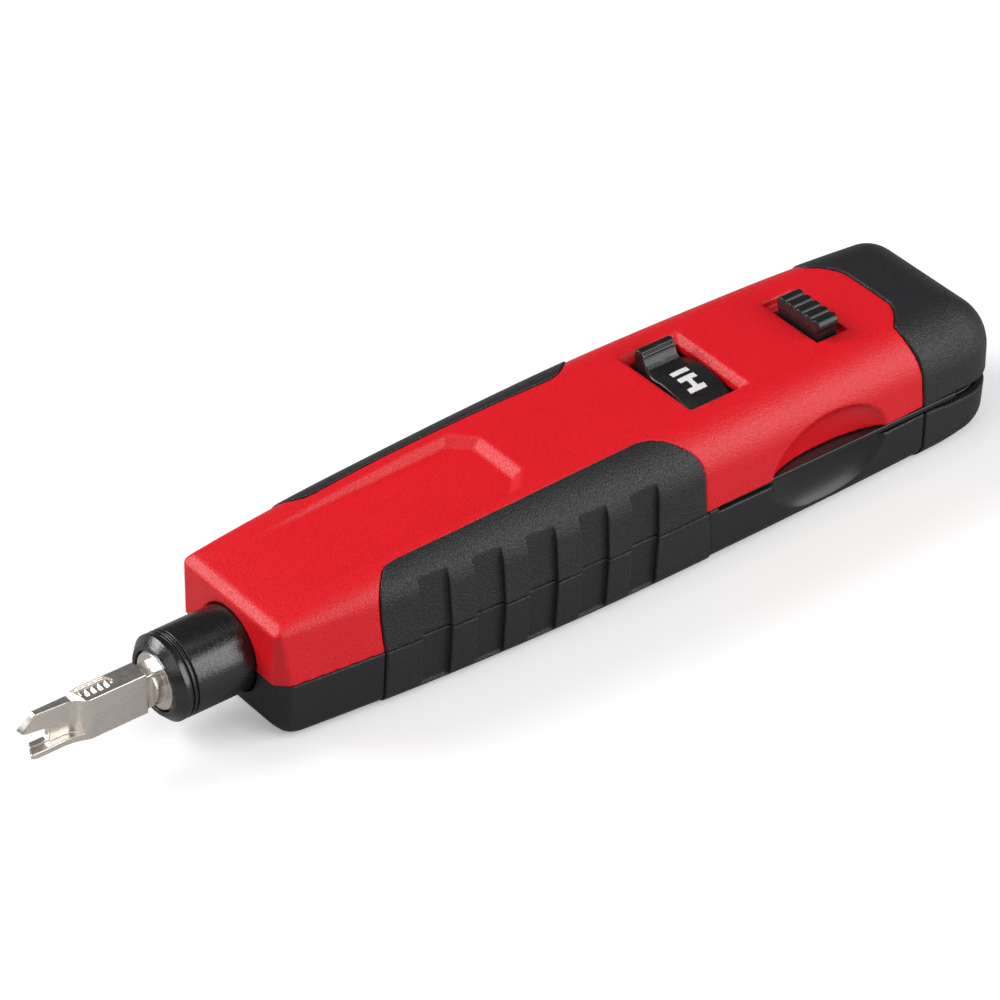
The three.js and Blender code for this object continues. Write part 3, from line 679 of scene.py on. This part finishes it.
def legend(name, letters):
    """Raised printed letters wrapped round the rim: pairs of letter shape and angle."""
    crest = sum(DIAL_X) / 2
    middle = crest - 0.3

    def flat(u, v, w):
        ink = np.inf
        for letter, angle in letters:
            ink = np.minimum(ink, letter(u - DIAL_R * radians(angle), v))
        return both(ink, np.abs(w) - 0.12, 0.08)

    span = [DIAL_R * radians(angle) for _, angle in letters]
    low, high = (min(span) - 2.2, -1.8, -0.1), (max(span) + 2.2, 1.8, 0.1)
    points, faces = skin_of(flat, low, high, step=0.08)
    u, v, w = points.T
    x = middle - v
    radius = DIAL_R - DIAL_CROWN * (x - crest) ** 2 + w
    turned_by = u / DIAL_R
    wrapped = np.stack([x, radius * np.sin(turned_by), AXIS_Z + radius * np.cos(turned_by)], axis=1)
    return piece(name, wrapped, faces, WHITE_INK, "dial", keep=0.3)


# ------------------------------------------------------------------ slide and pick


def lock_slide(x, y, z):
    base = block(x, y, z, (104.5, -9.4, 9.5), (119.5, 6, 10.7), 0.2)
    neck = block(x, y, z, (110.2, -5.1, 10.2), (113, 2.1, 13.2), 0.3)
    thumb = block(x, y, z, (THUMB_X[0], -6.4, TRAY_Z + 0.3), (THUMB_X[1], 3.4, 15.9), 0.3)
    made = either(either(base, neck), thumb, 0.3)
    for i in range(5):
        middle = -5.55 + RIDGE_PITCH * i
        ridge = length(y - middle, z - 15.65) - 1.15
        ridge = rounded(0.25, ridge, np.abs(x - sum(THUMB_X) / 2) - 2.1)
        made = either(made, ridge, 0.1)
    arm = block(x, y, z, (117.2, -9.4, 1), (119.5, -7.6, 10), 0.2)
    lug = block(x, y, z, (105.5, 5, 7.4), (108.5, 6.3, 10), 0.2)
    return either(either(made, arm), lug)


# The pick folded away, seen from above.
PICK_PLAN = [
    (130, -16.6), (131, -15.6), (131, -9.6), (118, -9.2), (108, -12.4), (90, -14.2),
    (88.6, -14.6), (88.2, -15.4), (87.4, -15.8), (86.6, -15.4), (86.2, -14.6),
    (84.6, -14.6), (82, -15.6), (82.4, -16.6),
]


def pick(x, y, z):
    """A flat pick with a hooked tip and a round eye for its pin."""
    eye = PIVOT_HOLE_R + 0.05 - length(x - PIVOT[0], y - PIVOT[1])
    flat = np.maximum(outline(PICK_PLAN, x, y), eye)
    return rounded(0.12, flat, np.abs(z + 0.3) - 0.4)


# ------------------------------------------------------------------ finishes


class Finish:
    """A procedural material built up from noise measured in millimetres."""

    def __init__(self, name, colour, roughness, metallic=0.0, gloss=0.5):
        self.material = bpy.data.materials.new(name)
        self.material.use_nodes = True
        self.tree = self.material.node_tree
        self.shader = self.tree.nodes["Principled BSDF"]
        self.shader.inputs["Base Color"].default_value = (*colour, 1)
        self.shader.inputs["Roughness"].default_value = roughness
        self.shader.inputs["Metallic"].default_value = metallic
        self.shader.inputs["Specular IOR Level"].default_value = gloss
        self.relief = None
        where = self.node("ShaderNodeTexCoord").outputs["Object"]
        self.place = self.node("ShaderNodeVectorMath", operation="SCALE", link={0: where})
        self.place.inputs["Scale"].default_value = 1 / MM

    def node(self, kind, link=None, **settings):
        made = self.tree.nodes.new(kind)
        for key, value in settings.items():
            setattr(made, key, value)
        for socket, source in (link or {}).items():
            self.tree.links.new(source, made.inputs[socket])
        return made

    def vector(self, operation, before):
        """A vector step that carries on from another node."""
        return self.node(
            "ShaderNodeVectorMath", operation=operation, link={0: before.outputs[0]}
        )

    def wire(self, source, socket):
        self.tree.links.new(source, self.shader.inputs[socket])

    def noise(self, grain, detail=2.0, stretch=(1, 1, 1)):
        """Noise whose blotches are about one grain wide, stretched along the axes."""
        scaled = self.vector("MULTIPLY", self.place)
        scaled.inputs[1].default_value = [1 / (grain * s) for s in stretch]
        texture = self.node("ShaderNodeTexNoise", link={"Vector": scaled.outputs[0]})
        texture.inputs["Scale"].default_value = 1
        texture.inputs["Detail"].default_value = detail
        return texture.outputs["Fac"]

    def spread(self, source, low, high, start=0.3, end=0.7):
        """Noise stretched over a range of values."""
        made = self.node("ShaderNodeMapRange", link={"Value": source})
        limits = {"From Min": start, "From Max": end, "To Min": low, "To Max": high}
        for socket, value in limits.items():
            made.inputs[socket].default_value = value
        return made.outputs["Result"]

    def tint(self, source, other, low=0.0, high=1.0):
        """Mixes the colour so far with another one where the noise is high."""
        share = self.spread(source, low, high)
        mix = self.node("ShaderNodeMix", data_type="RGBA", link={"Factor": share})
        colour = self.shader.inputs["Base Color"]
        if colour.is_linked:
            self.tree.links.new(colour.links[0].from_socket, mix.inputs["A"])
        else:
            mix.inputs["A"].default_value = colour.default_value
        mix.inputs["B"].default_value = (*other, 1)
        self.wire(mix.outputs["Result"], "Base Color")

    def polish(self, source, low, high):
        """Roughness that wanders between two values."""
        self.wire(self.spread(source, low, high), "Roughness")

    def bump(self, source, height):
        """Adds relief of a height in millimetres."""
        made = self.node("ShaderNodeBump", link={"Height": source})
        made.inputs["Distance"].default_value = height * MM
        if self.relief:
            self.tree.links.new(self.relief, made.inputs["Normal"])
        self.relief = made.outputs["Normal"]
        self.wire(self.relief, "Normal")
        return made

    def smooth_scoop(self, relief, roughness):
        """Leaves the walls of the thumb scoop smoother than the grained plastic round it."""
        shifted = self.vector("SUBTRACT", self.place)
        shifted.inputs[1].default_value = in_place([SCOOP])[0] / MM
        scaled = self.vector("DIVIDE", shifted)
        scaled.inputs[1].default_value = SCOOP_RADII
        size = self.vector("LENGTH", scaled)
        outside = self.spread(size.outputs["Value"], 0, 1, 1.005, 1.03)
        self.tree.links.new(self.spread(outside, 0.1, 1, 0, 1), relief.inputs["Strength"])
        mix = self.node("ShaderNodeMix", link={"Factor": outside})
        mix.inputs["A"].default_value = roughness
        grained = self.shader.inputs["Roughness"].links[0].from_socket
        self.tree.links.new(grained, mix.inputs["B"])
        self.wire(mix.outputs["Result"], "Roughness")


def red_plastic():
    made = Finish("red_plastic", (0.74, 0.002, 0.01), 0.45)
    made.tint(made.noise(9, 3), (0.7, 0.001, 0.008), 0, 0.6)
    made.tint(made.noise(0.3, 2), (0.8, 0.007, 0.016), 0, 0.35)
    made.polish(made.noise(0.5, 2), 0.38, 0.52)
    made.smooth_scoop(made.bump(made.noise(0.3, 1), 0.1), 0.3)
    return made.material


def charcoal_plastic():
    made = Finish("charcoal_plastic", (0.012, 0.012, 0.014), 0.42)
    made.tint(made.noise(7, 3), (0.009, 0.009, 0.011), 0, 0.7)
    made.polish(made.noise(0.6, 2), 0.38, 0.5)
    made.smooth_scoop(made.bump(made.noise(0.28, 1), 0.06), 0.29)
    return made.material


def grip_rubber():
    made = Finish("grip_rubber", (0.009, 0.009, 0.011), 0.5)
    made.tint(made.noise(0.25, 2), (0.026, 0.026, 0.028), 0, 0.6)
    made.polish(made.noise(0.3, 2), 0.34, 0.54)
    made.bump(made.noise(0.24, 1), 0.16)
    return made.material


def gloss_black():
    made = Finish("gloss_black", (0.008, 0.008, 0.009), 0.25)
    made.tint(made.noise(3, 3), (0.013, 0.013, 0.014), 0, 0.7)
    made.polish(made.noise(0.7, 3), 0.22, 0.36)
    made.bump(made.noise(0.3, 2), 0.012)
    return made.material


def black_oxide():
    made = Finish("black_oxide", (0.003, 0.0028, 0.0028), 0.3, gloss=0.85)
    made.tint(made.noise(0.35, 3), (0.009, 0.008, 0.008), 0, 0.7)
    made.polish(made.noise(0.5, 3), 0.19, 0.3)
    made.bump(made.noise(0.35, 3), 0.03)
    return made.material


def nickel():
    made = Finish("nickel", (0.82, 0.76, 0.7), 0.3, metallic=0.95)
    made.tint(made.noise(2.5, 3), (0.75, 0.69, 0.63), 0, 0.7)
    made.polish(made.noise(0.6, 2, (2, 1, 0.5)), 0.24, 0.36)
    made.bump(made.noise(0.5, 2), 0.006)
    return made.material


def steel():
    made = Finish("steel", (0.5, 0.5, 0.51), 0.35, metallic=1.0)
    made.tint(made.noise(1.5, 3), (0.38, 0.37, 0.36), 0, 0.6)
    made.polish(made.noise(0.4, 3, (4, 1, 1)), 0.25, 0.45)
    made.bump(made.noise(0.3, 2, (5, 1, 1)), 0.01)
    return made.material


def acetal():
    made = Finish("acetal", (0.62, 0.61, 0.56), 0.45)
    made.tint(made.noise(4, 3), (0.55, 0.53, 0.48), 0, 0.7)
    made.polish(made.noise(0.6, 2), 0.4, 0.52)
    made.bump(made.noise(0.4, 2), 0.01)
    return made.material


def white_ink():
    made = Finish("white_ink", (0.8, 0.81, 0.83), 0.5)
    made.tint(made.noise(0.5, 3), (0.68, 0.69, 0.72), 0, 0.6)
    made.polish(made.noise(0.4, 2), 0.45, 0.6)
    made.bump(made.noise(0.2, 2), 0.006)
    return made.material


def studio_floor():
    """White behind the tool, where it also glows a little for camera rays, a painted light that
    lightens the shadows on it; a painted shade of duller white in reflections, like paper in shade.
    """
    made = Finish("studio_floor", (0.93, 0.93, 0.93), 0.8)
    made.tint(made.noise(60, 3), (0.91, 0.91, 0.915), 0, 0.6)
    made.bump(made.noise(1.5, 2), 0.01)
    # painted light and shade: camera rays see a glowing white floor, reflections see a painted grey
    # one
    seen = made.node("ShaderNodeLightPath").outputs["Is Camera Ray"]
    shade = made.node("ShaderNodeMix", data_type="RGBA", link={"Factor": seen})
    made.tree.links.new(made.shader.inputs["Base Color"].links[0].from_socket, shade.inputs["B"])
    shade.inputs["A"].default_value = (0.42, 0.42, 0.42, 1)
    made.wire(shade.outputs["Result"], "Base Color")
    made.shader.inputs["Emission Color"].default_value = (1, 1, 1, 1)
    made.wire(made.spread(seen, 0, 0.25, 0, 1), "Emission Strength")
    return made.material


RED = red_plastic()
CHARCOAL = charcoal_plastic()
RUBBER_BLACK = grip_rubber()
GLOSS = gloss_black()
OXIDE = black_oxide()
NICKEL = nickel()
STEEL = steel()
ACETAL = acetal()
WHITE_INK = white_ink()

# ------------------------------------------------------------------ pieces


def build_handle():
    near, far = -HALF_WIDTH - 1, HALF_WIDTH + 1
    low, high = (-0.5, near, 0), (REAR_X + 1, far, 14.5)
    parts = [
        ("upper_shell", upper_shell, low, high, RED),
        ("lower_shell", lower_shell, (-0.5, near, -11), (REAR_X + 1, far, 0.2), CHARCOAL),
        ("end_cap_upper", upper_cap, (118, near, 0), high, RUBBER_BLACK),
        ("end_cap_lower", lower_cap, (118, near, -11), (REAR_X + 1, far, 0.2), RUBBER_BLACK),
    ]
    for name, shape, start, end, material in parts:
        points, faces = skin_of(shape, start, end, step=0.3)
        piece(f"{name}_skin", points, faces, material, "housing", (name,), keep=0.5)


def build_grips():
    start, end = (17, -HALF_WIDTH - 1), (80, -9)
    halves = [("grip_upper", upper_grip, 0, 14), ("grip_lower", lower_grip, -11, 0.2)]
    for name, shape, low_z, high_z in halves:
        points, faces = skin_of(shape, (*start, low_z), (*end, high_z), step=0.22)
        mirrored = points * np.array([1, -1, 1])
        sides = [("near", points, faces), ("far", mirrored, faces[:, ::-1])]
        for side, at, ring in sides:
            node = f"{name}_{side}"
            piece(f"{node}_skin", at, ring, RUBBER_BLACK, "housing", (node,), keep=0.7)


def build_plunger():
    sleeve = [(-13.5, 4.95), (-13.5, 5.65), (-12.2, BARREL_R)]
    for middle in (-11.05, -10.25):
        groove = BARREL_R - 0.4
        sleeve += [(middle - 0.25, BARREL_R), (middle - 0.15, groove)]
        sleeve += [(middle + 0.15, groove), (middle + 0.25, BARREL_R)]
    sleeve += [
        (23, BARREL_R), (24, 6), (24, 3), (3, 3), (3, SOCKET_R + 0.1),
        (-12.5, SOCKET_R + 0.1), (-12.5, 4.95),
    ]
    turned("plunger_sleeve_skin", eased(sleeve, 0.12), OXIDE, "plunger", ("plunger_sleeve",))
    socket = [
        (-13.1, 3.3), (-13.1, 4.7), (-12.9, 4.85), (-12.2, 4.85), (-12.2, SOCKET_R),
        (-3, SOCKET_R), (-3, 3.3),
    ]
    turned("blade_socket_skin", eased(socket, 0.2), NICKEL, "plunger", ("blade_socket",))


def build_blade():
    points, faces = skin_of(blade, (-36.8, -4.9, -4.5), (1.8, 4.9, 5.4), step=0.1)
    piece("blade_skin", points, faces, NICKEL, "blade", ("blade",), keep=0.6)


def build_controls():
    points, faces = skin_of(dial, (82.6, -8.8, -7.4), (91.8, 13, 16.3), step=0.15)
    piece("impact_dial_skin", points, faces, GLOSS, "dial", ("impact_dial",), keep=0.5)
    legend("legend_hi", [(letter_h, -11.5), (letter_i, 2.9)])
    legend("legend_lo", [(letter_l, 37.5), (letter_o, 53.5)])
    points, faces = skin_of(lock_slide, (104.3, -9.6, 0.8), (119.7, 6.5, 16.8), step=0.15)
    piece("latch_slide_skin", points, faces, GLOSS, "latch", ("latch_slide",), keep=0.5)
    points, faces = skin_of(pick, (81.8, -16.8, -0.8), (131.2, -9, 0.2), step=0.15)
    piece("pick_hook_skin", points, faces, GLOSS, "pick", ("pick_hook",), keep=0.5)


def finish_inner_pieces():
    """The CAD nodes that stay get the same finishes."""
    kept = {
        STEEL: [
            "blade_retainer", "plunger_stem", "hammer", "trip_pin", "guide_tube",
            "main_spring", "dial_detent_spring", "latch_spring", "pick_pivot_pin", *SCREWS,
        ],
        ACETAL: ["guide_bush", "spring_seat"],
    }
    for material, names in kept.items():
        for name in names:
            for slot in bpy.data.objects[name].material_slots:
                slot.material = material


# ------------------------------------------------------------------ studio


def build_floor():
    half = 3  # metres
    low = CAD_BOUNDS[0].z
    mesh = bpy.data.meshes.new("floor")
    corners = [(-half, -half, low), (half, -half, low), (half, half, low), (-half, half, low)]
    mesh.from_pydata(corners, [], [(0, 1, 2, 3)])
    mesh.materials.append(studio_floor())
    made = bpy.data.objects.new("floor", mesh)
    bpy.context.scene.collection.objects.link(made)


def add_light(name, azimuth, elevation, distance, size, brightness):
    """A square panel that looks at the tool from an angle round it."""
    data = bpy.data.lights.new(name, "AREA")
    data.energy = brightness * pi * size * size
    data.size = size
    light = bpy.data.objects.new(name, data)
    a, e = radians(azimuth), radians(elevation)
    away = Vector((sin(a) * cos(e), -cos(a) * cos(e), sin(e)))
    light.location = away * distance
    light.rotation_euler = away.to_track_quat("Z", "Y").to_euler()
    bpy.context.scene.collection.objects.link(light)


def build_lights():
    world = bpy.data.worlds.new("studio")
    world.use_nodes = True
    world.node_tree.nodes["Background"].inputs["Color"].default_value = (1, 1, 1, 1)
    world.node_tree.nodes["Background"].inputs["Strength"].default_value = 0.12
    bpy.context.scene.world = world
    add_light("overhead", azimuth=-60, elevation=80, distance=1.1, size=0.8, brightness=1.1)
    add_light("rear_left", azimuth=-140, elevation=34, distance=0.9, size=0.5, brightness=8)
    add_light("front_right", azimuth=38, elevation=25, distance=1.0, size=0.9, brightness=3.5)
    add_light("front_left", azimuth=-75, elevation=35, distance=1.0, size=0.7, brightness=1.2)


def build_camera():
    azimuth, elevation, distance = radians(-37.65), radians(36.31), 0.7557
    aim = Vector((-0.0122, -0.0143, 0.0285))
    back = Vector((sin(azimuth) * cos(elevation), -cos(azimuth) * cos(elevation), sin(elevation)))
    data = bpy.data.cameras.new("camera")
    data.sensor_width = 36
    data.lens = 182.66
    camera = bpy.data.objects.new("camera", data)
    camera.location = aim + back * distance
    camera.rotation_euler = (-back).to_track_quat("-Z", "Y").to_euler()
    bpy.context.scene.collection.objects.link(camera)
    bpy.context.scene.camera = camera


build_handle()
build_grips()
build_plunger()
build_blade()
build_controls()
finish_inner_pieces()
build_floor()
build_lights()
build_camera()
bpy.context.scene.view_settings.view_transform = "Standard"
